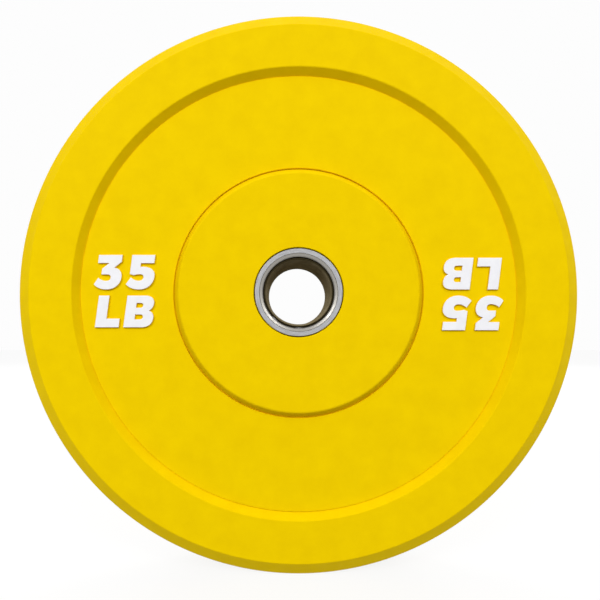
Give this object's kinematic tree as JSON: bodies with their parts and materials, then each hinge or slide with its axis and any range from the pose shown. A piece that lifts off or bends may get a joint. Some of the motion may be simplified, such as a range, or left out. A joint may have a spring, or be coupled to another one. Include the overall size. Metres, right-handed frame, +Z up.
{
  "type": "bumper plate",
  "caption": "Round solid rubber weight plate with a recessed face, raised hub disc and weight marks, and a steel-lined bore that slides on a 50 mm bar.",
  "frame": {"origin": "centre of the plate, on the axis of its bore", "axes": "+Y along the bore's axis from the front face to the rear face, +Z up with the front face's left weight mark upright, +X to the right as seen from the front"},
  "size_m": [0.45, 0.066, 0.45],
  "materials": {
    "yellow_rubber": "satin moulded",
    "white_rubber": "matte moulded",
    "flange_steel": "turned and brushed",
    "sleeve_steel": "turned, darkened by an oil film",
    "anchor_steel": "plain stamped"
  },
  "bodies": {
    "root": {"rubber_body": "yellow_rubber", "hub_sleeve": "sleeve_steel", "anchor_plate": "anchor_steel", "front_hub_flange": "flange_steel", "rear_hub_flange": "flange_steel", "front_left_digit_3": "white_rubber", "front_left_digit_5": "white_rubber", "front_left_letter_l": "white_rubber", "front_left_letter_b": "white_rubber", "front_right_digit_3": "white_rubber", "front_right_digit_5": "white_rubber", "front_right_letter_l": "white_rubber", "front_right_letter_b": "white_rubber", "rear_left_digit_3": "white_rubber", "rear_left_digit_5": "white_rubber", "rear_left_letter_l": "white_rubber", "rear_left_letter_b": "white_rubber", "rear_right_digit_3": "white_rubber", "rear_right_digit_5": "white_rubber", "rear_right_letter_l": "white_rubber", "rear_right_letter_b": "white_rubber"}
  },
  "joints": []
}
